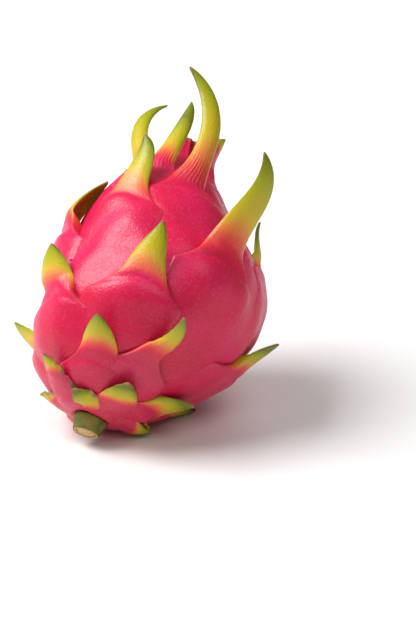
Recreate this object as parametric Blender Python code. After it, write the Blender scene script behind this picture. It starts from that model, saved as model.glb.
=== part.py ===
"""A whole dragon fruit (pitaya), picked and lying tilted on its own weight.

The fruit grew as one piece: an egg-shaped body whose skin swells into a cushion under each
leaf-like scale, the free blades of those scales, and the dry stub of the flower at the crown.
It is one fused solid. The cut stalk at the other end is the second piece.
Metres, +Z up. The origin is the middle of the flat spot that the fruit rests on.
"""

import math

import bmesh
import bpy
import numpy as np

MM = 0.001

# Body: a turned egg along its own axis, from the stalk seat (0) to the rim of the crown
BODY_LENGTH = 116.0 * MM
BODY_RADIUS = 42.2 * MM  # between the cushions, at the fullest ring
FULLEST_AT = 53.0 * MM
SEAT_RADIUS = 6.5 * MM
CROWN_RADIUS = 9.0 * MM
BOW = 10.5 * MM  # the middle of the body lies this far aside of the line between its ends
BOW_TURN = 100.0

# Flower stub: what is left of the flower's tube, standing on the crown
STUB_HEIGHT = 10.5 * MM
STUB_RADIUS = 4.0 * MM
STUB_DISH = 1.2 * MM

# Stalk: the short cut piece of stem that the fruit was picked with
STALK_LENGTH = 7.0 * MM
STALK_TOP_RADIUS = 6.8 * MM
STALK_CUT_RADIUS = 5.4 * MM
STALK_GAP = 0.3 * MM

# How the fruit lies: its axis leans back from upright, turned a little to the right. The
# stalk's seat is at this place, which puts the floor 1.8 mm into the skin and the origin in
# the middle of the flat spot. The fruit's weight is over that spot too.
LEAN = 48.0
LEAN_TURN = 23.0
SEAT_AT = (-13.4 * MM, -27.3 * MM, 11.1 * MM)
FLOOR_CUT = 60.0 * MM  # the cutter's size, enough for all that presses on the floor

# Scales: one after another up a spiral, crowded at both ends
SCALE_COUNT = 32
FIRST_TURN = 85.0  # degrees round the axis, from the top meridian
TURN_STEP = 136.8
SPIRAL_LENGTH = 115.0 * MM
SPIRAL_MIDDLE = 19.4
SPIRAL_SPREAD = 5.0

BODY_RINGS = 32
BODY_SIDES = 44
SCALE_ACROSS = 5
SKIN_COLOUR = (0.72, 0.03, 0.12, 1.0)
STALK_COLOUR = (0.36, 0.33, 0.10, 1.0)


def smooth(low, high, value):
    """0 below low, 1 above high, and an S-curve between them."""
    share = np.clip((value - low) / (high - low), 0.0, 1.0)
    return share * share * (3.0 - 2.0 * share)


def body_radius(along):
    """Radius of the bare egg at a distance along its axis."""
    below = np.clip((FULLEST_AT - along) / FULLEST_AT, 0.0, 1.0)
    above = np.clip((along - FULLEST_AT) / (BODY_LENGTH - FULLEST_AT), 0.0, 1.0)
    lower = SEAT_RADIUS + (BODY_RADIUS - SEAT_RADIUS) * (1.0 - below**2.1) ** 0.74
    upper = BODY_RADIUS * (1.0 - above**2) ** 0.92 + CROWN_RADIUS * above**4
    return np.where(along < FULLEST_AT, lower, upper)


ALONG_TABLE = np.linspace(0.0, BODY_LENGTH, 800)
RADIUS_TABLE = body_radius(ALONG_TABLE)
STEPS = np.hypot(np.diff(ALONG_TABLE), np.diff(RADIUS_TABLE))
MERIDIAN_TABLE = np.concatenate([[0.0], np.cumsum(STEPS)])


def meridian_at(along):
    """Distance over the skin from the seat's rim to this height on the axis."""
    return np.interp(along, ALONG_TABLE, MERIDIAN_TABLE)


def normal_at(along):
    """The egg's outward normal, as its radial part and its part along the axis."""
    step = 0.5 * MM
    low = np.clip(along - step, 0.0, BODY_LENGTH)
    high = np.clip(along + step, 0.0, BODY_LENGTH)
    rise, out = high - low, body_radius(high) - body_radius(low)
    length = np.hypot(rise, out)
    return rise / length, -out / length


def bow_at(along):
    """How far the body's middle lies aside at this height, as x and y."""
    aside = BOW * np.sin(math.pi * np.clip(along / BODY_LENGTH, 0.0, 1.0)) ** 2
    return aside * math.sin(math.radians(BOW_TURN)), -aside * math.cos(math.radians(BOW_TURN))


def skin_point(turn, along, height):
    """A point over the egg: turn in radians, and height above it along its normal."""
    radial, axial = normal_at(along)
    radius = body_radius(along) + height * radial
    bow_x, bow_y = bow_at(along)
    return np.stack(
        [bow_x + radius * np.sin(turn), bow_y - radius * np.cos(turn), along + height * axial],
        axis=-1,
    )


def between(start, middle, end, share):
    """The curve through three values, at shares 0, one half and 1."""
    return (
        start * (1 - share) * (1 - 2 * share)
        + middle * 4 * share * (1 - share)
        + end * share * (2 * share - 1)
    )


# Scales that differ from the rule: number from the stalk, then what is set by hand.
# length of the free blade, in mm; out: its angle off the skin at root, middle and tip, in
# degrees; aside: the same towards the right as the crown points up; shift: its root's move
# off the spiral, in degrees round the axis; rise: the same up the axis, in mm; roll: the
# blade's turn about its own length, in degrees; wide: half the blade's width, in mm; blunt:
# the power of its taper; flare and spread: how much wider its foot is than the rule, and how
# much further up it the foot's flare reaches; raise: how much more its cushion swells, in mm.
SET_BY_HAND = {
    0: {"length": 13, "out": (25, 10, -5), "aside": (20, 5, -15), "shift": 38, "rise": -0.5},
    2: {
        "length": 11,
        "out": (15, 0, -10),
        "aside": (-35, -45, -50),
        "shift": 18,
        "rise": -2.2,
        "wide": 6.5,
    },
    4: {"length": 10, "out": (10, 5, 15), "aside": (5, 10, -5), "shift": 7, "rise": -3},
    5: {
        "length": 18,
        "out": (15, 5, 5),
        "aside": (-20, -20, -20),
        "shift": 5,
        "rise": -3,
        "wide": 7.8,
    },
    6: {"length": 9, "out": (-5, -5, -5)},
    7: {
        "length": 16,
        "out": (10, 5, 5),
        "aside": (10, 5, 10),
        "shift": 10,
        "rise": -3.5,
        "wide": 5,
    },
    10: {"length": 17, "out": (10, 15, 5), "aside": (0, -5, -5), "shift": -2, "rise": 1},
    12: {
        "length": 23,
        "out": (20, 30, 10),
        "aside": (0, 0, -5),
        "shift": -26,
        "rise": 5,
        "roll": -20,
    },
    13: {
        "length": 27,
        "out": (20, 40, 25),
        "aside": (30, -5, -20),
        "shift": -20,
        "rise": -4,
        "wide": 3.5,
    },
    14: {"length": 18, "out": (15, 25, 20)},
    15: {
        "length": 17,
        "out": (10, 10, 5),
        "aside": (-10, 0, 10),
        "shift": -11,
        "rise": 4,
        "roll": -15,
        "wide": 7.4,
        "blunt": 2.6,
    },
    18: {
        "length": 20,
        "out": (10, 15, 10),
        "aside": (0, 10, -5),
        "shift": -13,
        "rise": -3,
        "wide": 5.7,
        "spread": 1.3,
    },
    20: {
        "length": 27,
        "out": (18, -12, -18),
        "aside": (-10, 10, 5),
        "rise": 7.5,
        "roll": 18,
        "wide": 7.2,
        "raise": 2,
    },
    21: {
        "length": 43,
        "out": (20, 55, 15),
        "aside": (-5, -5, -50),
        "shift": -27,
        "rise": -1,
        "wide": 6,
        "spread": 1.6,
    },
    23: {
        "length": 26,
        "out": (15, 25, 30),
        "aside": (-10, 5, -35),
        "shift": -4,
        "rise": 5,
        "wide": 5.2,
        "blunt": 3.2,
        "spread": 1.8,
    },
    24: {"length": 20, "out": (10, 5, 25), "aside": (0, 5, 0), "shift": -21, "rise": -2},
    26: {
        "length": 58,
        "out": (35, 25, 25),
        "aside": (10, -10, -65),
        "shift": -11,
        "rise": 3,
        "wide": 3.8,
        "blunt": 5,
        "flare": 1.6,
        "spread": 1.6,
    },
    28: {
        "length": 44,
        "out": (15, 25, -15),
        "aside": (-30, -20, 45),
        "shift": 31,
        "rise": 1,
        "wide": 3.5,
        "blunt": 6,
    },
    29: {
        "length": 35,
        "out": (5, 15, 25),
        "aside": (5, 25, 35),
        "shift": -19,
        "rise": 6,
        "wide": 3,
        "blunt": 7,
    },
    31: {
        "length": 37,
        "out": (10, 25, 15),
        "aside": (0, 5, -15),
        "shift": -5,
        "rise": -3,
        "wide": 3.6,
        "blunt": 4,
        "flare": 1.4,
        "spread": 1.5,
    },
}


# The margin: a scale's two raised edges run down and apart from its blade's root, by this much
# on a large scale and by less on a small one near the stalk
MARGIN_DROP = 9.0 * MM
MARGIN_CURVE = 4.0 * MM


def scales():
    """Every scale's place and sizes, from the stalk to the crown."""
    made = []
    for number in range(SCALE_COUNT):
        along = SPIRAL_LENGTH / (1.0 + math.exp((SPIRAL_MIDDLE - number) / SPIRAL_SPREAD))
        by_hand = SET_BY_HAND.get(number, {})
        along += by_hand.get("rise", 0.0) * MM
        share = number / (SCALE_COUNT - 1)
        room = float(body_radius(along)) / BODY_RADIUS
        length = by_hand.get("length", 7.0 + 22.0 * share)
        half = min(20.0, (5.0 + 15.0 * room) * by_hand.get("flare", 1.0)) * MM
        short = min(1.0, half / (20.0 * MM))
        turn = FIRST_TURN + TURN_STEP * number + by_hand.get("shift", 0.0)
        scale = {
            "turn": math.radians(turn),
            "along": along,
            "meridian": float(meridian_at(along)),
            "length": length * MM,
            "half": half,
            "blade": by_hand.get("wide", 7.5 - 3.0 * share) * MM,
            "taper": by_hand.get("blunt", 1.6 + length / 50.0),
            "swell": (0.8 + 2.6 * room + 0.7 * (4 < number < 8) + by_hand.get("raise", 0.0)) * MM,
            "cushion": (9.0 + 24.0 * room) * MM,
            "short": short,
            "drop": MARGIN_DROP * short,
            "curve": MARGIN_CURVE * short * by_hand.get("spread", 1.0),
            "out": by_hand.get("out", (10, 20, 15)),
            "aside": by_hand.get("aside", (0, 0, 0)),
            "roll": math.radians(by_hand.get("roll", 0.0)),
        }
        made.append(scale)
    return made


def margin_height(scale, across):
    """How far above the root the margin is, at a distance to one side."""
    spread = np.maximum(np.abs(across) - scale["blade"], 1e-3 * MM)
    height = -scale["drop"] - scale["curve"] * np.log(spread / (scale["half"] - scale["blade"]))
    return np.minimum(height, 2.0 * scale["drop"])


def half_width(scale, up):
    """Half the scale's width at a distance up from its root."""
    share = np.clip(up / scale["length"], 0.0, 1.0)
    taper = (1.0 - share ** scale["taper"]) ** 0.9
    flare = np.exp(-np.maximum(up + scale["drop"], 0.0) / scale["curve"])
    return scale["blade"] * taper + (scale["half"] - scale["blade"]) * flare + 0.3 * MM


def swelling(scale, across, up):
    """Height of the scale's cushion over the bare egg, without the step at its margin."""
    side = np.clip(1.0 - (across / (1.15 * scale["half"])) ** 2, 0.0, 1.0)
    down = np.clip(-up / scale["cushion"], 0.0, 1.0)
    return scale["swell"] * side * (1.0 - smooth(0.15, 1.0, down))


def cushions(turn, along, all_scales):
    """Height of the skin over the bare egg: the highest cushion at each point."""
    total = np.zeros(np.broadcast(turn, along).shape)
    for scale in all_scales:
        aside = (turn - scale["turn"] + math.pi) % (2.0 * math.pi) - math.pi
        across = aside * body_radius(along)
        up = meridian_at(along) - scale["meridian"]
        step = smooth(0.0, 3.0 * MM, margin_height(scale, across) - up)
        total += (swelling(scale, across, up) * step / MM) ** 5
    return total**0.2 * MM


def blade_path(scale, ups):
    """The free blade's centre line: points, and its side and outward directions."""
    turn, along = scale["turn"], scale["along"]
    radial, axial = normal_at(along)
    outward = np.array([radial * math.sin(turn), -radial * math.cos(turn), axial])
    tangent = np.array([-axial * math.sin(turn), axial * math.cos(turn), radial])
    side = np.array([math.cos(turn), math.sin(turn), 0.0])
    fine = np.linspace(0.0, scale["length"], 64)
    share = fine / scale["length"]
    out = np.radians(between(*scale["out"], share))[:, None]
    aside = np.radians(between(*scale["aside"], share))[:, None]
    heading = (np.cos(out) * tangent + np.sin(out) * outward) * np.cos(aside)
    heading += np.sin(aside) * side
    sides = side - heading * (heading @ side)[:, None]
    sides /= np.linalg.norm(sides, axis=1)[:, None]
    roll = scale["roll"] * smooth(-0.25, 0.25, share)[:, None]
    sides = np.cos(roll) * sides + np.sin(roll) * np.cross(sides, heading)
    steps = 0.5 * (heading[1:] + heading[:-1]) * fine[1]
    root = skin_point(turn, along, scale["swell"] + 0.7 * MM)
    points = root + np.concatenate([np.zeros((1, 3)), np.cumsum(steps, axis=0)])

    def pick(rows):
        return np.stack([np.interp(ups, fine, rows[:, axis]) for axis in range(3)], axis=-1)

    below = np.minimum(ups, 0.0)[:, None] * heading[0]
    return pick(points) + below, pick(sides), pick(np.cross(sides, heading))


def scale_rings(scale, rows, across_count):
    """Rings of points round the scale, from its sunk lower end to its tip."""
    reach = 14.0 * MM * scale["short"]
    ups = np.concatenate(
        [
            np.linspace(-reach, 0.0, rows // 3, endpoint=False),
            scale["length"] * np.linspace(0.0, 1.0, rows - rows // 3) ** 0.9,
        ]
    )
    across = np.linspace(-1.0, 1.0, across_count)
    up, share = np.meshgrid(ups, across, indexing="ij")
    wide = share * half_width(scale, up)

    along = np.interp(scale["meridian"] + up, MERIDIAN_TABLE, ALONG_TABLE)
    turn = scale["turn"] + wide / body_radius(along)
    lift = -1.0 * MM + 1.7 * MM * smooth(-reach, -0.15 * reach, up)
    skin = skin_point(turn, along, swelling(scale, wide, up) + lift)
    under = skin_point(turn, along, -5.0 * MM * np.ones_like(wide))

    points, sides, outs = blade_path(scale, ups)
    gutter = 0.30 * share**2 * half_width(scale, up)
    free = points[:, None] + sides[:, None] * wide[..., None] - outs[:, None] * gutter[..., None]
    grown = np.clip(up / scale["length"], 0.0, 1.0)
    thick = 2.4 * MM * (1.0 - 0.6 * grown) * (1.0 - 0.6 * share**2)
    thick *= min(1.0, 0.5 + 0.5 * scale["short"])
    back = free - outs[:, None] * thick[..., None]

    freed = smooth(-4.0 * MM, 5.0 * MM, up)[..., None]
    outer = skin * (1.0 - freed) + free * freed
    inner = under * (1.0 - freed) + back * freed
    return np.concatenate([outer, inner[:, ::-1]], axis=1)


def mesh_object(name, points, faces):
    """A mesh object from points and faces, its faces turned outwards."""
    mesh = bpy.data.meshes.new(name)
    mesh.from_pydata([tuple(point) for point in points], [], faces)
    shape = bmesh.new()
    shape.from_mesh(mesh)
    bmesh.ops.recalc_face_normals(shape, faces=shape.faces)
    shape.to_mesh(mesh)
    shape.free()
    made = bpy.data.objects.new(name, mesh)
    bpy.context.scene.collection.objects.link(made)
    return made


def rings_object(name, rings):
    """Rings of equal count, joined by faces and closed at both ends."""
    rows, count, _ = rings.shape
    faces = []
    for row in range(rows - 1):
        for spot in range(count):
            after = (spot + 1) % count
            faces.append(
                [
                    row * count + spot,
                    row * count + after,
                    (row + 1) * count + after,
                    (row + 1) * count + spot,
                ]
            )
    faces.append(list(range(count)))
    faces.append(list(range((rows - 1) * count, rows * count)))
    return mesh_object(name, rings.reshape(-1, 3), faces)


def body_object(all_scales):
    """The egg with its cushions, and the flower stub on its crown."""
    share = np.linspace(0.0, 1.0, BODY_RINGS)
    along = BODY_LENGTH * (0.35 * share + 0.65 * (1.0 - np.cos(math.pi * share)) / 2.0)
    turn = np.linspace(0.0, 2.0 * math.pi, BODY_SIDES, endpoint=False)
    rows, turns = np.meshgrid(along, turn, indexing="ij")
    height = cushions(turns, rows, all_scales)
    fade = smooth(0.0, 3.0 * MM, rows) * (1.0 - smooth(0.94 * BODY_LENGTH, BODY_LENGTH, rows))
    rings = list(skin_point(turns, rows, height * fade))
    for rise, radius in (
        (0.25 * STUB_HEIGHT, 0.6 * CROWN_RADIUS + 0.4 * STUB_RADIUS),
        (0.60 * STUB_HEIGHT, STUB_RADIUS * 1.25),
        (1.00 * STUB_HEIGHT, STUB_RADIUS * 1.05),
        (1.00 * STUB_HEIGHT, STUB_RADIUS * 0.70),
        (STUB_HEIGHT - STUB_DISH, STUB_RADIUS * 0.35),
    ):
        level = np.full_like(turn, BODY_LENGTH + rise)
        rings.append(np.stack([radius * np.sin(turn), -radius * np.cos(turn), level], axis=-1))
    return rings_object("fruit", np.array(rings))


def stalk_object():
    """The stalk: a short turned piece, its end cut square."""
    turn = np.linspace(0.0, 2.0 * math.pi, 24, endpoint=False)
    rings = []
    for drop, radius in (
        (STALK_GAP, 0.92 * STALK_TOP_RADIUS),
        (0.18 * STALK_LENGTH, STALK_TOP_RADIUS),
        (0.90 * STALK_LENGTH, STALK_CUT_RADIUS),
        (STALK_LENGTH, 0.92 * STALK_CUT_RADIUS),
    ):
        level = np.full_like(turn, -drop)
        rings.append(np.stack([radius * np.sin(turn), -radius * np.cos(turn), level], axis=-1))
    return rings_object("stalk", np.array(rings))


def colour(target, name, value, roughness):
    """Gives an object its own plain material."""
    material = bpy.data.materials.new(name)
    material.use_nodes = True
    shader = material.node_tree.nodes["Principled BSDF"]
    shader.inputs["Base Color"].default_value = value
    shader.inputs["Roughness"].default_value = roughness
    target.data.materials.clear()
    target.data.materials.append(material)


def apply_modifier(target, modifier):
    """Applies one modifier of an object."""
    bpy.context.view_layer.objects.active = target
    bpy.ops.object.modifier_apply(modifier=modifier.name)


def fuse(target, pieces):
    """Joins the pieces to the target by one Boolean union, and removes them."""
    group = bpy.data.collections.new("scales")
    bpy.context.scene.collection.children.link(group)
    for piece in pieces:
        bpy.context.scene.collection.objects.unlink(piece)
        group.objects.link(piece)
    union = target.modifiers.new("fuse_scales", "BOOLEAN")
    union.operation = "UNION"
    union.operand_type = "COLLECTION"
    union.collection = group
    union.solver = "EXACT"
    apply_modifier(target, union)
    for piece in pieces:
        bpy.data.objects.remove(piece)
    bpy.data.collections.remove(group)


def floor_cutter():
    """A box whose top is the floor. It is only a cutter, and isn't part of the fruit."""
    mesh = bpy.data.meshes.new("floor_cutter")
    shape = bmesh.new()
    bmesh.ops.create_cube(shape, size=1.0)
    bmesh.ops.scale(shape, vec=(2.0 * FLOOR_CUT, 2.0 * FLOOR_CUT, FLOOR_CUT), verts=shape.verts)
    bmesh.ops.translate(shape, vec=(0.0, 0.0, -0.5 * FLOOR_CUT), verts=shape.verts)
    shape.to_mesh(mesh)
    shape.free()
    cutter = bpy.data.objects.new("floor_cutter", mesh)
    bpy.context.scene.collection.objects.link(cutter)
    cutter.hide_render = True
    cutter.display_type = "WIRE"
    return cutter


def main():
    for old in list(bpy.data.objects):
        bpy.data.objects.remove(old)

    axis = bpy.data.objects.new("fruit_axis", None)
    bpy.context.scene.collection.objects.link(axis)
    axis.rotation_euler = (-math.radians(LEAN), 0.0, -math.radians(LEAN_TURN))
    axis.location = SEAT_AT

    all_scales = scales()
    fruit = body_object(all_scales)
    blades = []
    for number, scale in enumerate(all_scales):
        rows = 7 + int(scale["length"] / (9.0 * MM))
        rings = scale_rings(scale, rows, SCALE_ACROSS)
        blades.append(rings_object(f"scale_{number}", rings))
    fuse(fruit, blades)
    colour(fruit, "skin", SKIN_COLOUR, 0.42)
    fruit.parent = axis
    rest = fruit.modifiers.new("rest_flat", "BOOLEAN")
    rest.operation = "DIFFERENCE"
    rest.object = floor_cutter()

    stalk = stalk_object()
    colour(stalk, "stalk", STALK_COLOUR, 0.7)
    stalk.parent = axis


main()
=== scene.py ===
"""Looks of the whole dragon fruit: its skin, its scales, its flower stub and its stalk.

Every surface is worked out on the fruit's own axis, which runs from the stalk's seat (0) to the
crown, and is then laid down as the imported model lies. Metres, +Z up. Turns go round the axis
from the meridian that lies on top, and grow to the right as the crown points up.
"""

import math

import bpy
import numpy as np
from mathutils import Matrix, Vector


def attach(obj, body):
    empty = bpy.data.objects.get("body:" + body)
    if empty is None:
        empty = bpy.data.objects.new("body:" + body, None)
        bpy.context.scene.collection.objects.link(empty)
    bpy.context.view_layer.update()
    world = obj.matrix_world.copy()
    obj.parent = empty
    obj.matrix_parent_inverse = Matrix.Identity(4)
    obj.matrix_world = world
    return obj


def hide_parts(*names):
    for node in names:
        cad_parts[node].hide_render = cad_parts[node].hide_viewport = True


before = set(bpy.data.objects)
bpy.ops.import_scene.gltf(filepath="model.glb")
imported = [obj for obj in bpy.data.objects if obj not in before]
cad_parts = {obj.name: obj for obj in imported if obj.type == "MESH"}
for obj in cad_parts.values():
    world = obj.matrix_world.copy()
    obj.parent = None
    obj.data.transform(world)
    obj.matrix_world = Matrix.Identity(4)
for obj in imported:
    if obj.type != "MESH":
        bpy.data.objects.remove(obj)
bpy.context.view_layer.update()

# The skin: one waxy surface from the stalk's seat over all the cushions to the crown, and up the
# fluted stub that the flower left there, torn off dry at its top. The fruit under it is a swollen
# stem, grown as one piece: round in section, fullest below its middle and a little bowed.
MM = 0.001
BODY_LENGTH = 116.0 * MM
BODY_RADIUS = 42.2 * MM
FULLEST_AT = 53.0 * MM
SEAT_RADIUS = 6.5 * MM
CROWN_RADIUS = 9.0 * MM
BOW = 10.5 * MM
BOW_TURN = math.radians(100.0)
LOWER_POWERS = (2.1, 0.74)
UPPER_POWERS = (2, 0.92)
CROWN_POWER = 4
PROFILE_POINTS = 800
SLOPE_STEP = 0.5 * MM


def body_radius(along):
    """Radius of the egg: a blunt power curve below its fullest ring, a pointed one above it."""
    below = np.clip((FULLEST_AT - along) / FULLEST_AT, 0.0, 1.0)
    above = np.clip((along - FULLEST_AT) / (BODY_LENGTH - FULLEST_AT), 0.0, 1.0)
    lower = (1.0 - below ** LOWER_POWERS[0]) ** LOWER_POWERS[1]
    lower = SEAT_RADIUS + (BODY_RADIUS - SEAT_RADIUS) * lower
    upper = BODY_RADIUS * (1.0 - above ** UPPER_POWERS[0]) ** UPPER_POWERS[1]
    return np.where(along < FULLEST_AT, lower, upper + CROWN_RADIUS * above**CROWN_POWER)


profile_along = np.linspace(0.0, BODY_LENGTH, PROFILE_POINTS)
profile_steps = np.hypot(np.diff(profile_along), np.diff(body_radius(profile_along)))
profile_meridian = np.concatenate([[0.0], np.cumsum(profile_steps)])


def meridian_at(along):
    """Distance over the skin from the seat's rim to a height on the axis."""
    return np.interp(along, profile_along, profile_meridian)


def along_at(meridian):
    """Height on the axis at a distance over the skin from the seat's rim."""
    return np.interp(meridian, profile_meridian, profile_along)


def normal_at(along):
    """The egg's outward normal, square to the radius curve: its radial and its axial part."""
    low = np.clip(along - SLOPE_STEP, 0.0, BODY_LENGTH)
    high = np.clip(along + SLOPE_STEP, 0.0, BODY_LENGTH)
    rise, out = high - low, body_radius(high) - body_radius(low)
    length = np.hypot(rise, out)
    return rise / length, -out / length


def skin_point(turn, along, height):
    """The point at a height over the egg, along its normal, on an axis bowed as a sine squared."""
    radial, axial = normal_at(along)
    radius = body_radius(along) + height * radial
    bow = BOW * np.sin(math.pi * np.clip(along / BODY_LENGTH, 0.0, 1.0)) ** 2
    x = bow * math.sin(BOW_TURN) + radius * np.sin(turn)
    y = -bow * math.cos(BOW_TURN) - radius * np.cos(turn)
    return np.stack([x, y, along + height * axial], axis=-1)


# The scales are leaves, and follow one another up a spiral at nearly the same turn each time.
# Their heights follow an S-curve of their numbers, because they crowd at both ends.
SCALE_COUNT = 32
FIRST_TURN = 85.0  # degrees
TURN_STEP = 136.8  # degrees
SPIRAL_LENGTH = 115.0 * MM
SPIRAL_MIDDLE = 19.4
SPIRAL_SPREAD = 5.0

# Below each scale the skin swells into a cushion, which ends at the scale's margin.
MARGIN_DROP = 9.0 * MM
MARGIN_CURVE = 4.0 * MM
MARGIN_TOP = -1.0 * MM

# The rules, in mm. A blade's length and half width: at the stalk, and what the crown adds.
# Half a scale's whole width, its swelling and its cushion's reach: the least, and what the
# full room at the body's fullest ring adds. Three scales near the stalk swell a little more.
RULE_LENGTH = (7.0, 22.0)
RULE_BLADE = (7.5, -3.0)
RULE_HALF = (5.0, 15.0)
RULE_SWELL = (0.8, 2.6)
RULE_CUSHION = (9.0, 24.0)
WIDEST_HALF = 20.0
FULLER_BY = 0.7
FULLER_SCALES = (5, 6, 7)

# A blade's angles off the skin and to the side, in degrees: at its root, middle and tip. The
# power of its taper: the least, and the length in mm that makes it blunter by one. Where it
# stops being pink, in mm from its root, and from what share of its length it is green.
RULE_OUT = (10, 20, 15)
RULE_ASIDE = (0, 0, 0)
LEAST_BLUNT = 1.6
BLUNTER_BY_ONE = 50.0
PINK_TO = -3.0
GREEN_FROM_SHARE = 0.75

# Scales that differ from the rule: number from the stalk, then what is set for it. length:
# that of the free blade, in mm; out: its angle off the skin at root, middle and tip, in
# degrees; aside: the same towards the right as the crown points up; shift: its root's move
# off the spiral, in degrees round the axis; rise: the same up the axis, in mm; roll: the
# blade's turn about its own length, in degrees; wide: half the blade's width, in mm; blunt:
# the power of its taper; flare and spread: how much wider its foot is than the rule, and how
# much further up it the foot's flare reaches; raise: how much more its cushion swells, in mm.
SET_BY_HAND = {
    0: {"length": 13, "out": (25, 10, -5), "aside": (20, 5, -15), "shift": 38, "rise": -0.5},
    2: {
        "length": 11,
        "out": (15, 0, -10),
        "aside": (-35, -45, -50),
        "shift": 18,
        "rise": -2.2,
        "wide": 6.5,
    },
    4: {"length": 10, "out": (10, 5, 15), "aside": (5, 10, -5), "shift": 7, "rise": -3},
    5: {
        "length": 18,
        "out": (15, 5, 5),
        "aside": (-20, -20, -20),
        "shift": 5,
        "rise": -3,
        "wide": 7.8,
    },
    6: {"length": 9, "out": (-5, -5, -5)},
    7: {
        "length": 16,
        "out": (10, 5, 5),
        "aside": (10, 5, 10),
        "shift": 10,
        "rise": -3.5,
        "wide": 5,
    },
    10: {"length": 17, "out": (10, 15, 5), "aside": (0, -5, -5), "shift": -2, "rise": 1},
    12: {
        "length": 23,
        "out": (20, 30, 10),
        "aside": (0, 0, -5),
        "shift": -26,
        "rise": 5,
        "roll": -20,
    },
    13: {
        "length": 27,
        "out": (20, 40, 25),
        "aside": (30, -5, -20),
        "shift": -20,
        "rise": -4,
        "wide": 3.5,
    },
    14: {"length": 18, "out": (15, 25, 20)},
    15: {
        "length": 17,
        "out": (10, 10, 5),
        "aside": (-10, 0, 10),
        "shift": -11,
        "rise": 4,
        "roll": -15,
        "wide": 7.4,
        "blunt": 2.6,
    },
    18: {
        "length": 20,
        "out": (10, 15, 10),
        "aside": (0, 10, -5),
        "shift": -13,
        "rise": -3,
        "wide": 5.7,
        "spread": 1.3,
    },
    20: {
        "length": 27,
        "out": (18, -12, -18),
        "aside": (-10, 10, 5),
        "rise": 7.5,
        "roll": 18,
        "wide": 7.2,
        "raise": 2,
    },
    21: {
        "length": 43,
        "out": (20, 55, 15),
        "aside": (-5, -5, -50),
        "shift": -27,
        "rise": -1,
        "wide": 6,
        "spread": 1.6,
    },
    23: {
        "length": 26,
        "out": (15, 25, 30),
        "aside": (-10, 5, -35),
        "shift": -4,
        "rise": 5,
        "wide": 5.2,
        "blunt": 3.2,
        "spread": 1.8,
    },
    24: {"length": 20, "out": (10, 5, 25), "aside": (0, 5, 0), "shift": -21, "rise": -2},
    26: {
        "length": 58,
        "out": (35, 25, 25),
        "aside": (10, -10, -65),
        "shift": -11,
        "rise": 3,
        "wide": 3.8,
        "blunt": 5,
        "flare": 1.6,
        "spread": 1.6,
    },
    28: {
        "length": 44,
        "out": (15, 25, -15),
        "aside": (-30, -20, 45),
        "shift": 31,
        "rise": 1,
        "wide": 3.5,
        "blunt": 6,
    },
    29: {
        "length": 35,
        "out": (5, 15, 25),
        "aside": (5, 25, 35),
        "shift": -19,
        "rise": 6,
        "wide": 3,
        "blunt": 7,
    },
    31: {
        "length": 37,
        "out": (10, 25, 15),
        "aside": (0, 5, -15),
        "shift": -5,
        "rise": -3,
        "wide": 3.6,
        "blunt": 4,
        "flare": 1.4,
        "spread": 1.5,
    },
}

# How far up its blade a scale stays pink, and from where it is green, in mm from its root.
RIPENED_BY_HAND = {
    0: (4, 13),
    1: (4, 13),
    2: (-2, 9),
    3: (4, 11),
    4: (3, 11),
    5: (5, 15),
    6: (4, 12),
    7: (7, 17),
    10: (1, 17),
    12: (-2, 24),
    13: (0, 27),
    15: (1, 19),
    18: (-2, 21),
    20: (0, 26),
    21: (-3, 42),
    23: (-3, 25),
    26: (-2, 58),
    28: (-6, 40),
    29: (24, 36),
    31: (2, 28),
}


def by_rule(rule, share):
    """A rule's first value, plus its second one times a share."""
    return rule[0] + rule[1] * share


all_scales = []
for number in range(SCALE_COUNT):
    along = SPIRAL_LENGTH / (1.0 + math.exp((SPIRAL_MIDDLE - number) / SPIRAL_SPREAD))
    by_hand = SET_BY_HAND.get(number, {})
    along += by_hand.get("rise", 0.0) * MM
    share = number / (SCALE_COUNT - 1)
    room = float(body_radius(along)) / BODY_RADIUS
    length = by_hand.get("length", by_rule(RULE_LENGTH, share))
    pink_to, green_from = RIPENED_BY_HAND.get(number, (PINK_TO, GREEN_FROM_SHARE * length))
    half = min(WIDEST_HALF, by_rule(RULE_HALF, room) * by_hand.get("flare", 1.0)) * MM
    size = half / (WIDEST_HALF * MM)
    fuller = FULLER_BY * (number in FULLER_SCALES)
    all_scales.append(
        {
            "number": number,
            "turn": math.radians(FIRST_TURN + TURN_STEP * number + by_hand.get("shift", 0.0)),
            "along": along,
            "meridian": float(meridian_at(along)),
            "length": length * MM,
            "half": half,
            "blade": by_hand.get("wide", by_rule(RULE_BLADE, share)) * MM,
            "taper": by_hand.get("blunt", LEAST_BLUNT + length / BLUNTER_BY_ONE),
            "swell": (by_rule(RULE_SWELL, room) + fuller + by_hand.get("raise", 0.0)) * MM,
            "cushion": by_rule(RULE_CUSHION, room) * MM,
            "drop": MARGIN_DROP * size,
            "curve": MARGIN_CURVE * size * by_hand.get("spread", 1.0),
            "size": size,
            "out": by_hand.get("out", RULE_OUT),
            "aside": by_hand.get("aside", RULE_ASIDE),
            "roll": math.radians(by_hand.get("roll", 0.0)),
            "pink_to": pink_to * MM,
            "green_from": green_from * MM,
        }
    )


def from_root(scale, turn, along):
    """A place's distances over the skin from a scale's root: to its right, and up."""
    aside = (turn - scale["turn"] + math.pi) % (2.0 * math.pi) - math.pi
    return aside * body_radius(along), meridian_at(along) - scale["meridian"]


LEAST_SPREAD = 0.001 * MM


def margin_height(scale, across):
    """How far above the root the margin runs: it falls as the logarithm of the distance aside."""
    spread = np.maximum(np.abs(across) - scale["blade"], LEAST_SPREAD)
    height = -scale["drop"] - scale["curve"] * np.log(spread / (scale["half"] - scale["blade"]))
    return np.minimum(height, MARGIN_TOP)


TAPER_ROUNDING = 0.9
TIP_HALF = 0.3 * MM


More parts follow.
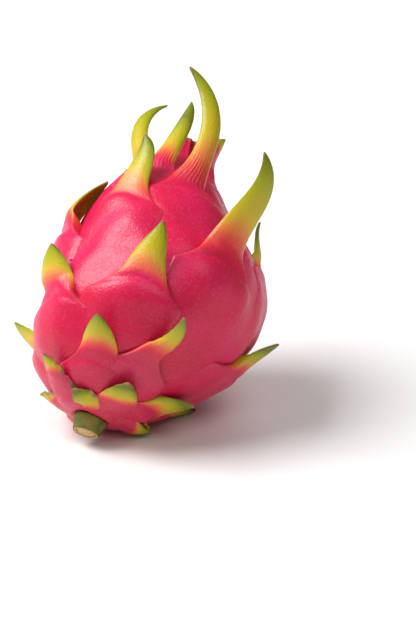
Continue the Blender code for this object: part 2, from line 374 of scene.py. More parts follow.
def half_width(scale, up):
    """Half the scale's width: a tapered blade above, plus a flare that dies away upwards."""
    grown = np.clip(up / scale["length"], 0.0, 1.0)
    taper = (1.0 - grown ** scale["taper"]) ** TAPER_ROUNDING
    flare = np.exp(-np.maximum(up + scale["drop"], 0.0) / scale["curve"])
    return scale["blade"] * taper + (scale["half"] - scale["blade"]) * flare + TIP_HALF


def smooth(low, high, value):
    """0 below low, 1 above high, and between them three squares less two cubes of the share."""
    share = np.clip((value - low) / (high - low), 0.0, 1.0)
    return share * share * (3.0 - 2.0 * share)


CUSHION_SIDE = 1.06
CUSHION_FALL_FROM = 0.15
FOLD_SHARE = 0.24
FOLD_DOWN = 2.2 * MM
FOLD_DROOP = 0.28
FOLD_WIDTH = 1.7 * MM


def swelling(scale, across, up):
    """Height of a scale's cushion: a parabola across, and a slow fall to nothing below.

    A bell-shaped fold takes a quarter of it away in an arc under the blade's foot.
    """
    side = np.clip(1.0 - (across / (CUSHION_SIDE * scale["half"])) ** 2, 0.0, 1.0)
    down = np.clip(-up / scale["cushion"], 0.0, 1.0)
    from_fold = (up + FOLD_DOWN + FOLD_DROOP * np.abs(across)) / FOLD_WIDTH
    folded = 1.0 - FOLD_SHARE * np.exp(-(from_fold**2))
    return scale["swell"] * side * (1.0 - smooth(CUSHION_FALL_FROM, 1.0, down)) * folded


SEAT_FADE = 3.0 * MM
CROWN_FADE_FROM = 0.94 * BODY_LENGTH


def end_fade(along):
    """1 over most of the body, and 0 at the seat's rim and at the crown's."""
    at_crown = smooth(CROWN_FADE_FROM, BODY_LENGTH, along)
    return smooth(0.0, SEAT_FADE, along) * (1.0 - at_crown)


MARGIN_STEP = 1.8 * MM
MARGIN_INSET = 0.8 * MM


def cut_off(scale, across, up):
    """1 inside a scale's margin and 0 outside it, with an S-curve a little inside it.

    The S-curve runs over the smaller of the distances to the margin, upwards and to the side.
    """
    inside = np.minimum(margin_height(scale, across) - up, half_width(scale, up) - np.abs(across))
    return smooth(MARGIN_INSET, MARGIN_INSET + MARGIN_STEP, inside)


CUSHION_POWER = 5
UNDER_LIFT = 0.2 * MM


def skin_height(turn, along, uncut=None):
    """Height of the skin over the egg: the fifth root of the summed fifth powers of all cushions.

    Each cushion is cut off at its own margin, apart from the one that is named uncut. With one
    uncut, the height is at most a little over that cushion, so that it dips under a higher one.
    """
    total, highest = 0.0, np.inf
    for scale in all_scales:
        across, up = from_root(scale, turn, along)
        height = swelling(scale, across, up)
        if scale is uncut:
            highest = height + UNDER_LIFT
        else:
            height = height * cut_off(scale, across, up) * end_fade(along)
        total = total + (height / MM) ** CUSHION_POWER
    return np.minimum(total ** (1.0 / CUSHION_POWER) * MM, highest)


WAVE_COUNT = 9
WAVE_HEIGHT = 0.16 * MM
SHORTEST_WAVE = 11.0  # mm
LONGEST_WAVE = 26.0  # mm
wave_draw = np.random.default_rng(7)
wave_ways = wave_draw.normal(size=(WAVE_COUNT, 3))
wave_ways /= np.linalg.norm(wave_ways, axis=1)[:, None]
wave_lengths = wave_draw.uniform(SHORTEST_WAVE, LONGEST_WAVE, WAVE_COUNT) * MM
wave_starts = wave_draw.uniform(0.0, 2.0 * math.pi, WAVE_COUNT)


def waves(turn, along):
    """Low unevenness of the skin: the sum of nine sine waves that cross the egg at random."""
    place = skin_point(turn, along, 0.0)
    phase = place @ (2.0 * math.pi * wave_ways / wave_lengths[:, None]).T + wave_starts
    return WAVE_HEIGHT * np.sin(phase).sum(axis=-1)


EDGE_AHEAD = 5.0 * MM


def ripening(scale, across, up):
    """0 where a scale is pink, 1 where it is green: the distance up it, its edges ahead."""
    edge = np.clip(np.abs(across) / half_width(scale, up), 0.0, 1.0)
    ahead = EDGE_AHEAD * scale["size"] * edge**3
    reach = scale["green_from"] - scale["pink_to"]
    return np.clip((up + ahead - scale["pink_to"]) / reach, 0.0, 1.0)


DEEPEST_PINK = 0.30
DEEPEST_UP_TO = 12.0 * MM
DEEPER_UP_TO = 50.0 * MM


def deeper_near_stalk(along):
    """How much deeper the pink is near the stalk: an S-curve that fades out half way up."""
    return DEEPEST_PINK * smooth(DEEPER_UP_TO, DEEPEST_UP_TO, along)


def flutes(turn):
    """Ribs of the flower stub: three cosines round the axis, of nine, thirteen and four waves."""
    return np.cos(9.0 * turn + 0.4) + 0.6 * np.cos(13.0 * turn + 2.0) + 0.5 * np.cos(4.0 * turn)


def ring_faces(rows, count, first=0):
    """Quads between neighbouring rings of points, and fans of triangles that close both ends.

    The rings' points come first, then the pole below and the pole above.
    """
    row, spot = np.meshgrid(np.arange(rows - 1), np.arange(count), indexing="ij")
    here, there = row * count, (row + 1) * count
    after = (spot + 1) % count
    quads = np.stack([here + spot, here + after, there + after, there + spot], axis=-1)
    spot, after = spot[0], after[0]
    top = (rows - 1) * count
    below = np.stack([np.full(count, rows * count), after, spot], axis=-1)
    above = np.stack([np.full(count, rows * count + 1), top + spot, top + after], axis=-1)
    quads = quads.reshape(-1, 4) + first
    return quads.tolist() + (below + first).tolist() + (above + first).tolist()


# How the fruit lies. A picked fruit rolls until the side of its body and the ends of the scales
# under it carry it: its axis leans back from upright, with the stalk's seat near the floor.
LEAN = math.radians(48.0)
LEAN_TURN = math.radians(23.0)
SEAT_AT = np.array([-13.4, -27.3, 11.1]) * MM


def laid(points):
    """Points of the axis frame, leaned back about X, turned about Z and moved to the seat.

    What would reach under the floor is pressed flat on it.
    """
    x, y, z = np.moveaxis(points, -1, 0)
    back_y = y * math.cos(LEAN) + z * math.sin(LEAN)
    up = -y * math.sin(LEAN) + z * math.cos(LEAN)
    right = x * math.cos(LEAN_TURN) + back_y * math.sin(LEAN_TURN)
    back = -x * math.sin(LEAN_TURN) + back_y * math.cos(LEAN_TURN)
    world = np.stack([right, back, up], axis=-1) + SEAT_AT
    world[..., 2] = np.maximum(world[..., 2], 0.0)
    return world


def make_piece(name, points, faces, values, finish):
    """A smooth-shaded mesh object with a named value at each point, which its finish reads."""
    mesh = bpy.data.meshes.new(name)
    mesh.from_pydata(laid(points), [], faces)
    mesh.shade_smooth()
    for label, numbers in values.items():
        layer = mesh.attributes.new(label, "FLOAT", "POINT")
        layer.data.foreach_set("value", np.asarray(numbers, dtype=np.float32).ravel())
    mesh.materials.append(finish)
    piece = bpy.data.objects.new(name, mesh)
    bpy.context.scene.collection.objects.link(piece)
    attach(piece, "root")
    return piece


def add_node(tree, kind, inputs=(), **settings):
    """A node with its settings, its inputs set to numbers or linked from other nodes' outputs."""
    node = tree.nodes.new(kind)
    for label, value in settings.items():
        setattr(node, label, value)
    for socket, value in dict(inputs).items():
        if isinstance(value, bpy.types.NodeSocket):
            tree.links.new(value, node.inputs[socket])
        else:
            node.inputs[socket].default_value = value
    return node


def colour_of(value):
    """A colour with its fourth value, or a socket as it is."""
    return value if isinstance(value, bpy.types.NodeSocket) else (*value, 1.0)


def blend(tree, share, first, second):
    """The colour between two others at a share."""
    inputs = {0: share, 6: colour_of(first), 7: colour_of(second)}
    return add_node(tree, "ShaderNodeMix", inputs, data_type="RGBA").outputs[2]


def calculate(tree, how, first, second=0.0, third=0.0, clamp=False):
    """The result of one Math node, held between 0 and 1 if it is clamped."""
    inputs = {0: first, 1: second, 2: third}
    return add_node(tree, "ShaderNodeMath", inputs, operation=how, use_clamp=clamp).outputs[0]


def ramp(tree, value, stops):
    """A colour for each value, between the stops given."""
    node = add_node(tree, "ShaderNodeValToRGB", {0: value})
    band = node.color_ramp
    while len(band.elements) < len(stops):
        band.elements.new(0.5)
    for element, (place, colour) in zip(band.elements, stops):
        element.position = place
        element.color = (*colour, 1.0)
    return node.outputs[0]


def read_value(tree, label):
    """The piece's own value of this name."""
    return add_node(tree, "ShaderNodeAttribute", attribute_name=label).outputs["Fac"]


def noise(tree, place, scale, detail=2.0, roughness=0.5):
    """Noise of this many waves to the metre."""
    inputs = {"Vector": place, "Scale": scale, "Detail": detail, "Roughness": roughness}
    return add_node(tree, "ShaderNodeTexNoise", inputs).outputs["Fac"]


# Colours of the skin, and of a scale from its pink foot to its green tip, outside and inside.
DEEP_PINK = (0.63, 0.004, 0.038)
BRIGHT_PINK = (0.77, 0.012, 0.125)
PALE_PINK = (0.85, 0.16, 0.24)
# crimson: painted shade in the creases, furrows and pleat valleys, and the deeper pink near the
# stalk
CRIMSON = (0.36, 0.002, 0.008)
PEACH = (0.90, 0.46, 0.20)
DARK_GREEN = (0.13, 0.17, 0.006)
DRY_TAN = (0.50, 0.28, 0.12)
DRY_BROWN = (0.12, 0.040, 0.016)
BLADE_COLOURS = (
    (0.00, (0.74, 0.016, 0.055)),
    (0.10, (0.76, 0.032, 0.045)),
    (0.20, (0.76, 0.110, 0.050)),
    (0.31, (0.74, 0.270, 0.040)),
    (0.44, (0.60, 0.440, 0.014)),
    (0.70, (0.42, 0.400, 0.007)),
    (0.90, (0.26, 0.280, 0.005)),
    (1.00, (0.16, 0.180, 0.005)),
)
INNER_COLOURS = (
    (0.00, (0.50, 0.010, 0.012)),
    (0.25, (0.52, 0.060, 0.006)),
    (0.50, (0.52, 0.320, 0.010)),
    (1.00, (0.36, 0.360, 0.010)),
)
BLOTCHES = 45.0  # waves to the metre
GRAIN = 500.0
STIPPLE = 1100.0

skin_finish = bpy.data.materials.new("waxy_skin")
skin_finish.use_nodes = True
tree = skin_finish.node_tree
shader = tree.nodes["Principled BSDF"]
place = add_node(tree, "ShaderNodeTexCoord").outputs["Object"]
blotch = noise(tree, place, BLOTCHES, 3.0)
grain = noise(tree, place, GRAIN, 3.0, 0.6)
stipple = noise(tree, place, STIPPLE, 1.0)

# the ripening, a little uneven from spot to spot, but only where there is a blade
ripe = read_value(tree, "ripening")
uneven = calculate(tree, "MULTIPLY_ADD", blotch, 0.22, -0.11)
on_blade = calculate(tree, "MULTIPLY", ripe, 9.0, clamp=True)
ripe_here = calculate(tree, "MULTIPLY_ADD", uneven, on_blade, ripe)

# the pink skin: deeper and brighter blotches, pale specks and streaks, painted crimson shade in
# creases
brightness = calculate(tree, "MULTIPLY_ADD", blotch, 1.8, -0.45, clamp=True)
pink = blend(tree, brightness, DEEP_PINK, BRIGHT_PINK)
specks = calculate(tree, "MULTIPLY_ADD", stipple, 0.9, -0.48, clamp=True)
pink = blend(tree, specks, pink, PALE_PINK)
# the streaks also hold a painted highlight along the scales' rims
pink = blend(tree, read_value(tree, "pale_streak_and_highlight"), pink, PALE_PINK)
# painted crimson shade in the creases, furrows and pleat valleys, and a deeper pink near the stalk
pink = blend(tree, read_value(tree, "crease_shade_and_deep_pink"), pink, CRIMSON)

# the green blade: darker along its edges, some with a peach middle, deeper coloured inside
green = ramp(tree, ripe_here, BLADE_COLOURS)
dark_edge = calculate(tree, "MULTIPLY", read_value(tree, "edge"), 0.25)
green = blend(tree, dark_edge, green, DARK_GREEN)
green = blend(tree, read_value(tree, "peach"), green, PEACH)
colour = blend(tree, on_blade, pink, green)
inside = calculate(tree, "MULTIPLY", read_value(tree, "inside"), 0.85)
colour = blend(tree, inside, colour, ramp(tree, ripe_here, INNER_COLOURS))

# the dry tips, edges and stub, and the waxy shine with its leathery grain
dry = read_value(tree, "dryness")
colour = blend(tree, dry, colour, blend(tree, grain, DRY_TAN, DRY_BROWN))
tree.links.new(colour, shader.inputs["Base Color"])
shader.inputs["Specular IOR Level"].default_value = 0.38
rough = calculate(tree, "MULTIPLY_ADD", grain, 0.14, 0.30)
rough = calculate(tree, "MULTIPLY_ADD", dry, 0.35, rough, clamp=True)
tree.links.new(rough, shader.inputs["Roughness"])
pebbles = calculate(tree, "MULTIPLY_ADD", grain, 0.8, stipple)
skin_bump = {"Height": pebbles, "Strength": 0.8, "Distance": 0.20 * MM}
bump = add_node(tree, "ShaderNodeBump", skin_bump)
tree.links.new(bump.outputs[0], shader.inputs["Normal"])

# Rows over the body, evenly spaced over the skin.
SKIN_TURNS = 360
SKIN_ROWS = 214
CREASE_DEPTH = 0.45 * MM
CREASE_WIDTH = 1.5 * MM
CREASE_INSIDE = 0.5 * MM
FLUTE_DEPTH = 0.42 * MM
FLUTED_FROM = 0.84 * BODY_LENGTH
FLUTED_FULLY = 0.99 * BODY_LENGTH
FLUTE_SHADE = 0.45
STREAK_SHADE = 0.15

# Between these values of the flutes, the stub's furrows get painted shade and its rib tops turn
# pale.
GROOVES_SHADED = (0.2, -1.5)
RIBS_PALE = (0.6, 2.0)

body_along = along_at(np.linspace(0.0, profile_meridian[-1], SKIN_ROWS))
turn = np.linspace(0.0, 2.0 * math.pi, SKIN_TURNS, endpoint=False)
along, turns = np.meshgrid(body_along, turn, indexing="ij")
height = skin_height(turns, along) + waves(turns, along) * end_fade(along)
ripe_skin = np.zeros_like(along)
crease_shade_and_deep_pink = np.zeros_like(along)
highest = np.zeros_like(along)
for scale in all_scales:
    across, up = from_root(scale, turns, along)
    own = swelling(scale, across, up) * cut_off(scale, across, up)
    ripe_skin = np.where(own > highest, ripening(scale, across, np.minimum(up, 0.0)), ripe_skin)
    highest = np.maximum(own, highest)
    # just outside each margin runs a crease, cut into the skin and given painted crimson shade
    past = up - margin_height(scale, across)
    beside = np.exp(-((past / CREASE_WIDTH) ** 2)) * swelling(scale, across, up) / scale["swell"]
    crease_shade_and_deep_pink = np.maximum(crease_shade_and_deep_pink, beside * (past > -CREASE_INSIDE))
height -= CREASE_DEPTH * crease_shade_and_deep_pink * end_fade(along)
fluted = smooth(FLUTED_FROM, FLUTED_FULLY, along)
height += FLUTE_DEPTH * flutes(turns) * fluted
body_points = skin_point(turns, along, height)

# Rows up the stub, over its rim and down into its dish. The stub's flank is a power curve, and
# its rim is a short profile: shares of the stub's height and of its radius.
STUB_HEIGHT = 10.5 * MM
STUB_RADIUS = 4.8 * MM
FLANK_REACH = 0.95 * STUB_HEIGHT
FLANK_POWER = 1.6
FLANK_ROWS = 21
STUB_DRY_FROM = 0.86
STUB_RIM = np.array(
    [
        (1.02, 0.99),
        (1.03, 0.95),
        (1.01, 0.88),
        (0.97, 0.80),
        (0.93, 0.60),
        (0.90, 0.35),
        (0.89, 0.15),
    ]
)

flank_rise = np.linspace(0.0, 1.0, FLANK_ROWS + 1)[1:]
stub_rise = np.concatenate([flank_rise, STUB_RIM[:, 0]]) * STUB_HEIGHT
flank = np.clip(1.0 - stub_rise / FLANK_REACH, 0.0, 1.0) ** FLANK_POWER
stub_radius = STUB_RADIUS + (CROWN_RADIUS - STUB_RADIUS) * flank
stub_radius[FLANK_ROWS:] = STUB_RADIUS * STUB_RIM[:, 1]
rise, turns_up = np.meshgrid(stub_rise, turn, indexing="ij")
flute_share = (stub_radius / STUB_RADIUS)[:, None].clip(0, 1)
radius = stub_radius[:, None] + FLUTE_DEPTH * flutes(turns_up) * flute_share
stub_points = np.stack(
    [radius * np.sin(turns_up), -radius * np.cos(turns_up), BODY_LENGTH + rise], axis=-1
)

# Two rows close the skin under the stalk, a little above the seat's plane.
SEAT_ROWS = [0.3, 0.8]
SEAT_LIFT = 0.2 * MM

seat_rings = np.stack(
    [
        np.outer(SEAT_ROWS, SEAT_RADIUS * np.sin(turn)),
        np.outer(SEAT_ROWS, -SEAT_RADIUS * np.cos(turn)),
        np.full((len(SEAT_ROWS), SKIN_TURNS), SEAT_LIFT),
    ],
    axis=-1,
)
rings = np.concatenate([seat_rings, body_points, stub_points])
poles = np.array([[0.0, 0.0, SEAT_LIFT], [0.0, 0.0, BODY_LENGTH + STUB_RIM[-1, 0] * STUB_HEIGHT]])

# What the skin's finish reads at each point, ring by ring and then at the two poles.
on_body = slice(len(SEAT_ROWS), -len(stub_rise))
on_stub = slice(-len(stub_rise), None)
# painted shade in the furrows joins that in the creases, and so does a deeper pink near the stalk
groove_shade = FLUTE_SHADE * smooth(*GROOVES_SHADED, flutes(turns))
crease_shade_and_deep_pink += deeper_near_stalk(along) + groove_shade * fluted
labels = ("ripening", "edge", "peach", "crease_shade_and_deep_pink", "pale_streak_and_highlight", "inside", "dryness")
skin_values = {label: np.zeros((len(rings), SKIN_TURNS)) for label in labels}
skin_values["ripening"][on_body] = ripe_skin
skin_values["crease_shade_and_deep_pink"][on_body] = np.minimum(crease_shade_and_deep_pink, 1.0)
# painted shade in the stub's furrows
skin_values["crease_shade_and_deep_pink"][on_stub] = FLUTE_SHADE * smooth(*GROOVES_SHADED, flutes(turns_up))
skin_values["pale_streak_and_highlight"][on_body] = STREAK_SHADE * fluted * smooth(*RIBS_PALE, flutes(turns))
skin_values["pale_streak_and_highlight"][on_stub] = FLUTE_SHADE * smooth(*RIBS_PALE, flutes(turns_up))
skin_values["dryness"][on_stub] = smooth(STUB_DRY_FROM, 1.0, rise / STUB_HEIGHT)
skin_values["dryness"][-len(STUB_RIM) - 1 :] = 1.0
for label, numbers in skin_values.items():
    skin_values[label] = np.append(numbers, [0.0, numbers[-1, 0]])
fruit_skin = make_piece(
    "fruit_skin",
    np.concatenate([rings.reshape(-1, 3), poles]),
    ring_faces(len(rings), SKIN_TURNS),
    skin_values,
    skin_finish,
)
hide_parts("fruit")

# The scales: fleshy leaves grown out of the cushions' upper edges. Each lies on the skin as far
# as its margin, then stands free as a blade that curls, pink at its root and green at its tip.
LAID_REACH = 20.0 * MM
SEAT_MARGIN = 1.0 * MM
LAID_FROM = -0.15 * MM
LAID_RISE = 0.25 * MM
LAID_RISE_TO = -0.45  # share of the reach
SUNK_TO = -4.0 * MM
FREED_FROM = -4.0 * MM
FREED_AT = 5.0 * MM
THICKNESS = 2.4 * MM
THINNER_AT_TIP = 0.6
THICKEST = 1.3  # half widths
ROUND_EDGE = 1.3 * MM
GUTTER_DEPTH = 0.30  # half widths
TIP_CROWDING = 1.3
DRY_TIP = 1.6 * MM
DRY_FULLY = 0.4 * MM

# How much of a blade's middle is peach, and how withered its edges are, by the scale's number.
PEACH_MIDDLE = {15: 0.15, 18: 0.15, 23: 0.6}
WITHERED = {0: 0.5, 1: 0.8, 2: 1.0, 3: 0.8, 4: 1.0, 5: 0.35, 6: 0.7, 7: 1.0, 12: 0.2, 13: 0.4}


def between(start, middle, end, share):
    """The parabola through three values, at shares 0, one half and 1."""
    return (
        start * (1 - share) * (1 - 2 * share)
        + middle * 4 * share * (1 - share)
        + end * share * (2 * share - 1)
    )


PATH_POINTS = 64
ROLLED_BY = 0.25
ROOT_LIFT = 0.7 * MM


def blade_path(scale, ups):
    """The free blade's centre line: the sum of short steps in a direction that bends on the way.

    Gives its points and, at each, the directions to its side and outwards.
    """
    turn, along = scale["turn"], scale["along"]
    radial, axial = normal_at(along)
    outward = np.array([radial * math.sin(turn), -radial * math.cos(turn), axial])
    tangent = np.array([-axial * math.sin(turn), axial * math.cos(turn), radial])
    side = np.array([math.cos(turn), math.sin(turn), 0.0])
    fine = np.linspace(0.0, scale["length"], PATH_POINTS)
    share = fine / scale["length"]
    out = np.radians(between(*scale["out"], share))[:, None]
    aside = np.radians(between(*scale["aside"], share))[:, None]
    heading = (np.cos(out) * tangent + np.sin(out) * outward) * np.cos(aside)
    heading += np.sin(aside) * side
    sides = side - heading * (heading @ side)[:, None]
    sides /= np.linalg.norm(sides, axis=1)[:, None]
    roll = scale["roll"] * smooth(-ROLLED_BY, ROLLED_BY, share)[:, None]
    sides = np.cos(roll) * sides + np.sin(roll) * np.cross(sides, heading)
    steps = 0.5 * (heading[1:] + heading[:-1]) * fine[1]
    root = skin_point(turn, along, scale["swell"] + ROOT_LIFT)
    points = root + np.concatenate([np.zeros((1, 3)), np.cumsum(steps, axis=0)])

    def pick(rows):
        """Rows at the heights asked for, in straight lines between the short steps."""
        return np.stack([np.interp(ups, fine, rows[:, axis]) for axis in range(3)], axis=-1)

    below = np.minimum(ups, 0.0)[:, None] * heading[0]
    return pick(points) + below, pick(sides), pick(np.cross(sides, heading))


PLEATS = 4.5
PLEAT_HEIGHT = 0.28 * MM
PLEAT_START = -3.0 * MM
PLEAT_FULLY = 1.0 * MM
PLEAT_FADE = (0.12, 0.34)  # shares of the blade's length
PLEAT_WANDER = 2.3 * MM
PLEAT_PATCHES = 3.1 * MM
FIRST_CROWN_SCALE = 24


def pleats(scale, share, up):
    """Lengthwise pleats at a blade's foot: a cosine of the share across, over a short reach.

    A sine makes them wander a little to the side on their way up, and another makes them uneven.
    """
    strength = 0.6 if scale["number"] >= FIRST_CROWN_SCALE else 0.3
    wander = 0.12 * np.sin(up / PLEAT_WANDER + scale["number"])
    phase = 2.0 * math.pi * (PLEATS * share + wander)
    faded = smooth(*PLEAT_FADE, up / scale["length"])
    foot = smooth(PLEAT_START, PLEAT_FULLY, up) * (1.0 - faded)
    uneven = 0.65 + 0.35 * np.sin(11.0 * share + up / PLEAT_PATCHES + 2.0 * scale["number"])
    return strength * foot * np.cos(phase) * uneven


CRINKLE_HEIGHT = 0.35 * MM
LONG_CRINKLE = 0.75 * MM
SHORT_CRINKLE = 0.42 * MM


def crinkles(scale, share, up):
    """Crinkles of a withered edge: two sine waves along it, stronger towards the edge."""
    start = 2.0 * scale["number"]
    wave = np.sin(up / LONG_CRINKLE + 5.0 * share + start)
    wave += 0.7 * np.sin(up / SHORT_CRINKLE - 4.0 * share + 1.7 * start)
    return wave * share**2


def scale_surface(scale, low_rows, free_rows, outer_count, inner_count):
    """Rings round one scale: its outer face lies on the skin below and on its bent path above.

    Across, the outer face is a gutter turned down, and both faces meet in a round edge: their
    gap is the thickness times the root of one less the fourth power of the share aside.
    """
    reach = min(LAID_REACH * scale["size"], scale["meridian"] - SEAT_MARGIN)
    low_ups = np.linspace(-reach, 0.0, low_rows, endpoint=False)
    grown = 1.0 - (1.0 - np.linspace(0.0, 1.0, free_rows)) ** TIP_CROWDING
    ups = np.concatenate([low_ups, scale["length"] * grown])
    outer = np.sin(0.5 * math.pi * np.linspace(-1.0, 1.0, outer_count))
    inner = np.sin(0.5 * math.pi * np.linspace(1.0, -1.0, inner_count + 2))[1:-1]
    up, share = np.meshgrid(ups, np.concatenate([outer, inner]), indexing="ij")
    inside = np.zeros_like(up)
    inside[:, outer_count:] = 1.0
    width = half_width(scale, up)
    wide = share * width

    # on the skin, with a round edge, and its inner face sunk out of sight
    along = along_at(scale["meridian"] + up)
    turn = scale["turn"] + wide / body_radius(along)
    lift = LAID_FROM + LAID_RISE * smooth(-reach, LAID_RISE_TO * reach, up)
    round_edge = ROUND_EDGE * scale["size"]
    near_edge = np.clip((np.abs(wide) - width + round_edge) / round_edge, 0.0, 1.0)
    lift -= round_edge * (1.0 - np.sqrt(1.0 - near_edge**2))
    pleated = pleats(scale, share, up) * (1.0 - inside)
    lift += PLEAT_HEIGHT * np.maximum(pleated, 0.0) * (1.0 - near_edge)
    on_skin = skin_height(turn, along, scale) + waves(turn, along) * end_fade(along) + lift
    skin = skin_point(turn, along, np.where(inside > 0.5, SUNK_TO, on_skin))

    # free, along its bent path
    points, sides, outs = blade_path(scale, ups)
    grown = np.clip(up / scale["length"], 0.0, 1.0)
    thick = THICKNESS * (1.0 - THINNER_AT_TIP * grown) * (0.5 + 0.5 * scale["size"])
    thick = np.minimum(thick, THICKEST * width)
    gap = np.sqrt(1.0 - share**4)
    withered = WITHERED.get(scale["number"], 0.0)
    depth = GUTTER_DEPTH * share**2 * width + 0.5 * thick * (1.0 - gap * (1.0 - 2.0 * inside))
    depth -= PLEAT_HEIGHT * pleated
    depth -= CRINKLE_HEIGHT * withered * crinkles(scale, share, up)
    free = points[:, None] + sides[:, None] * wide[..., None] - outs[:, None] * depth[..., None]
    freed = smooth(FREED_FROM, FREED_AT, up)[..., None]
    rings = skin * (1.0 - freed) + free * freed
    tip = rings[-1].mean(axis=0) * 1.5 - rings[-2].mean(axis=0) * 0.5

    # what the finish reads: shares of pink and green, where it is dry or streaked, and painted shade
    # in creases
    ripe = ripening(scale, wide, up)
    middle = 1.0 - smooth(0.3, 0.9, np.abs(share))
    at_tip = smooth(scale["length"] - DRY_TIP, scale["length"] - DRY_FULLY, up)
    patchy = smooth(-0.2, 0.9, crinkles(scale, 1.0 + 0.4 * share, 0.6 * up))
    at_edge = withered * smooth(0.70, 0.95, np.abs(share)) * smooth(-5.0 * MM, 0.0, up) * patchy
    # a thin pale rim along the margins: partly a pale dry line, partly a painted highlight
    pale_rim_and_highlight = smooth(0.90, 1.0, np.abs(share)) * smooth(-20.0 * MM, -8.0 * MM, up)
    pale_rim_and_highlight *= smooth(0.1, 0.0, ripe)
    pale_streak_and_highlight = 0.5 * np.maximum(pleated, 0.0) ** 2 + 0.3 * withered + 0.4 * pale_rim_and_highlight
    values = {
        "ripening": ripe,
        "edge": np.abs(share) ** 5 * smooth(0.35, 0.6, ripe),
        "peach": PEACH_MIDDLE.get(scale["number"], 0.0) * middle * smooth(0.55, 0.3, ripe),
        # painted shade in the pleats' valleys, and a deeper pink near the stalk
        "crease_shade_and_deep_pink": 0.25 * np.maximum(-pleated, 0.0) + deeper_near_stalk(along),
        "pale_streak_and_highlight": np.clip(pale_streak_and_highlight, 0.0, 1.0),
        "inside": inside * smooth(0.0, 4.0 * MM, up),
        "dryness": np.maximum(at_tip, at_edge),
    }
    for label, numbers in values.items():
        values[label] = np.append(numbers, [0.0, numbers[-1, 0]])
    return np.concatenate([rings.reshape(-1, 3), [rings[0].mean(axis=0), tip]]), values


def scales_piece(name, group, low_rows, free_rows, outer_count, inner_count):
    """One piece of several scales, each with its own rings of points."""
    points, faces, values, first = [], [], [], 0
    for scale in group:
        surface, read = scale_surface(scale, low_rows, free_rows, outer_count, inner_count)
        faces += ring_faces(low_rows + free_rows, outer_count + inner_count, first)
        first += len(surface)
        points.append(surface)
        values.append(read)
    joined = {label: np.concatenate([read[label] for read in values]) for label in labels}
    piece = make_piece(name, np.concatenate(points), faces, joined, skin_finish)
    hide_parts("fruit")


# For each piece: rows on the skin and rows of the free blade, then points across the outer face
# and across the inner one.
FIRST_MIDDLE_SCALE = 8
lower_scales = all_scales[:FIRST_MIDDLE_SCALE]
middle_scales = all_scales[FIRST_MIDDLE_SCALE:FIRST_CROWN_SCALE]
crown_scales = all_scales[FIRST_CROWN_SCALE:]
scales_piece("lower_scales", lower_scales, 22, 44, 44, 14)
scales_piece("middle_scales", middle_scales, 20, 44, 36, 14)
scales_piece("crown_scales", crown_scales, 24, 60, 64, 16)

# The stalk: the short piece of stem that stayed on when the fruit was cut off the plant. It is
# olive green outside, and its cut face has dried to tan with a ring where the wood begins.
STALK_LENGTH = 7.0 * MM
STALK_TOP_RADIUS = 6.8 * MM
STALK_TURNS = 96
CUT_FACE_FROM = 11  # rows of the profile
CUT_FACE_FULLY = 13
RING_FROM = 0.53  # shares of the top's radius
RING_TO = 0.60

# The stalk's profile from its top, which lies hidden against the seat, down its bark, over the rim
# and in over the cut face: shares of its length and of its top's radius.
stalk_profile = np.array(
    [
        (0.04, 0.30),
        (0.04, 0.80),
        (0.06, 0.90),
        (0.14, 0.98),
        (0.24, 1.00),
        (0.40, 0.96),
        (0.55, 0.90),
        (0.70, 0.85),
        (0.82, 0.82),
        (0.90, 0.81),
        (0.96, 0.79),
        (0.99, 0.76),
        (1.00, 0.72),
        (0.99, 0.68),
        (0.97, 0.62),
        (0.96, 0.585),
        (0.92, 0.565),
        (0.92, 0.545),
        (0.96, 0.525),
        (0.975, 0.45),
        (0.98, 0.30),
        (0.98, 0.15),
    ]
)
spots = np.linspace(0.0, 2.0 * math.pi, STALK_TURNS, endpoint=False)
drop, spot = np.meshgrid(stalk_profile[:, 0] * STALK_LENGTH, spots, indexing="ij")

# The stem isn't quite round: its radius swells in three waves and, less, in seven.
lobes = 1.0 + 0.020 * np.cos(3.0 * spot + 0.8) + 0.012 * np.cos(7.0 * spot)
radius = stalk_profile[:, 1:] * STALK_TOP_RADIUS * lobes
stalk_rings = np.stack([radius * np.sin(spot), -radius * np.cos(spot), -drop], axis=-1)[::-1]
stalk_poles = np.zeros((2, 3))
stalk_poles[:, 2] = -stalk_profile[[-1, 0], 0] * STALK_LENGTH
row_cut = smooth(CUT_FACE_FROM, CUT_FACE_FULLY, np.arange(len(stalk_profile)))
row_ring = (stalk_profile[:, 1] > RING_FROM) & (stalk_profile[:, 1] < RING_TO)
stalk_cut = np.repeat(row_cut[::-1], STALK_TURNS)
stalk_ring = np.repeat(row_ring[::-1], STALK_TURNS)

BARK_COLOURS = (
    (0.25, (0.04, 0.045, 0.004)),
    (0.50, (0.15, 0.14, 0.009)),
    (0.75, (0.26, 0.17, 0.03)),
)
WOOD_COLOURS = (
    (0.3, (0.42, 0.24, 0.08)),
    (0.7, (0.72, 0.48, 0.20)),
)
RING_BROWN = (0.16, 0.07, 0.02)
BARK_PATCHES = 220.0  # waves to the metre
WOOD_FIBRES = 900.0

stalk_finish = bpy.data.materials.new("cut_stalk")
stalk_finish.use_nodes = True
tree = stalk_finish.node_tree
shader = tree.nodes["Principled BSDF"]
place = add_node(tree, "ShaderNodeTexCoord").outputs["Object"]
patches = noise(tree, place, BARK_PATCHES, 3.0)
fibres = noise(tree, place, WOOD_FIBRES, 3.0, 0.6)
bark = ramp(tree, patches, BARK_COLOURS)
wood = ramp(tree, fibres, WOOD_COLOURS)
colour = blend(tree, read_value(tree, "cut"), bark, wood)
ring_share = calculate(tree, "MULTIPLY", read_value(tree, "ring"), 0.85)
colour = blend(tree, ring_share, colour, RING_BROWN)
tree.links.new(colour, shader.inputs["Base Color"])
shader.inputs["Roughness"].default_value = 0.62
stalk_bump = {"Height": fibres, "Strength": 0.6, "Distance": 0.15 * MM}
bump = add_node(tree, "ShaderNodeBump", stalk_bump)
tree.links.new(bump.outputs[0], shader.inputs["Normal"])
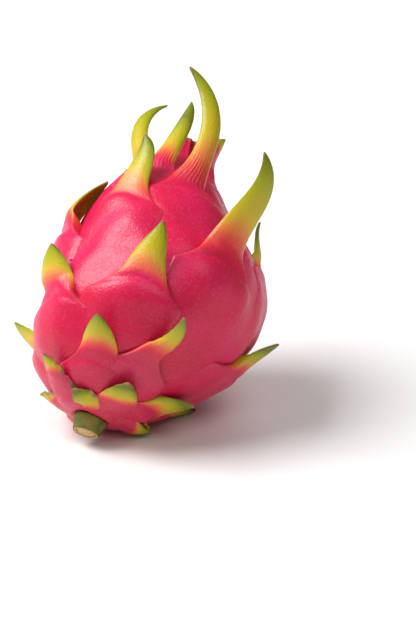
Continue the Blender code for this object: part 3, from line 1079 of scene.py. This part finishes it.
cut_stalk = make_piece(
    "cut_stalk",
    np.concatenate([stalk_rings.reshape(-1, 3), stalk_poles]),
    ring_faces(len(stalk_profile), STALK_TURNS),
    {"cut": np.append(stalk_cut, [1.0, 0.0]), "ring": np.append(stalk_ring, [0.0, 0.0])},
    stalk_finish,
)
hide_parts("stalk")

# The floor: a plain white table top, painted matt. White air lights it from all round, and so do
# three soft lamps: the main one from the left, a weaker one behind and a weaker one in front.
FLOOR_REACH = 4.0
FLOOR_DROP = 0.05 * MM
floor_mesh = bpy.data.meshes.new("floor")
corners = [(-1, -1), (1, -1), (1, 1), (-1, 1)]
corners = [(x * FLOOR_REACH, y * FLOOR_REACH, -FLOOR_DROP) for x, y in corners]
floor_mesh.from_pydata(corners, [], [(0, 1, 2, 3)])
floor_finish = bpy.data.materials.new("white_top")
floor_finish.use_nodes = True
floor_shader = floor_finish.node_tree.nodes["Principled BSDF"]
floor_shader.inputs["Base Color"].default_value = (0.90, 0.895, 0.89, 1.0)
floor_shader.inputs["Roughness"].default_value = 0.7
floor_mesh.materials.append(floor_finish)
floor = bpy.data.objects.new("floor", floor_mesh)
bpy.context.scene.collection.objects.link(floor)

air = bpy.data.worlds.new("white_air")
air.use_nodes = True
air.node_tree.nodes["Background"].inputs["Color"].default_value = (1.0, 1.0, 1.0, 1.0)
air.node_tree.nodes["Background"].inputs["Strength"].default_value = 0.18
bpy.context.scene.world = air

middle = Vector(laid(np.array([0.0, 0.0, 0.5 * BODY_LENGTH])))


def soft_lamp(name, place, size, watts, mirrored=True):
    """A square lamp that faces the middle of the fruit, and that the skin's shine mirrors or not."""
    light = bpy.data.lights.new(name, "AREA")
    light.size = size
    light.energy = watts
    lamp = bpy.data.objects.new(name, light)
    lamp.location = place
    lamp.rotation_mode = "QUATERNION"
    lamp.rotation_quaternion = (Vector(place) - middle).to_track_quat("Z", "Y")
    lamp.visible_camera = False
    lamp.visible_glossy = mirrored
    bpy.context.scene.collection.objects.link(lamp)


soft_lamp("key_box", (-1.2, 0.05, 1.55), 1.15, 50.0)
soft_lamp("back_box", (0.2, 2.0, 1.5), 1.6, 16.0, mirrored=False)
soft_lamp("front_box", (0.7, -1.1, 1.9), 1.2, 10.0)

# The camera: it looks down by 22 degrees, and stands so that the stalk's seat falls on its pixel
# of the photograph and a pixel at the fruit is 0.39 mm.
PHOTO_WIDTH = 416
PHOTO_HEIGHT = 624
SEAT_PIXEL = (91.0, 417.0)
LOOK_DOWN = math.radians(22.0)
CAMERA_REACH = 0.8
PIXEL = 0.39 * MM
SENSOR = 36.0
pixel_focus = CAMERA_REACH / PIXEL
right = Vector((1.0, 0.0, 0.0))
up = Vector((0.0, math.sin(LOOK_DOWN), math.cos(LOOK_DOWN)))
toward = Vector((0.0, -math.cos(LOOK_DOWN), math.sin(LOOK_DOWN)))
aside_share = (SEAT_PIXEL[0] - 0.5 * PHOTO_WIDTH) / pixel_focus
up_share = (0.5 * PHOTO_HEIGHT - SEAT_PIXEL[1]) / pixel_focus
camera = bpy.data.objects.new("camera", bpy.data.cameras.new("camera"))
camera.data.lens = pixel_focus * SENSOR / PHOTO_HEIGHT
camera.data.sensor_width = SENSOR
# the seat lies on its pixel's line of sight, as far off along the view as the camera's reach
camera.location = Vector(SEAT_AT) + (toward - right * aside_share - up * up_share) * CAMERA_REACH
camera.rotation_mode = "QUATERNION"
camera.rotation_quaternion = (-toward).to_track_quat("-Z", "Y")
bpy.context.scene.collection.objects.link(camera)
bpy.context.scene.camera = camera
bpy.context.scene.view_settings.view_transform = "Standard"

bpy.context.view_layer.update()
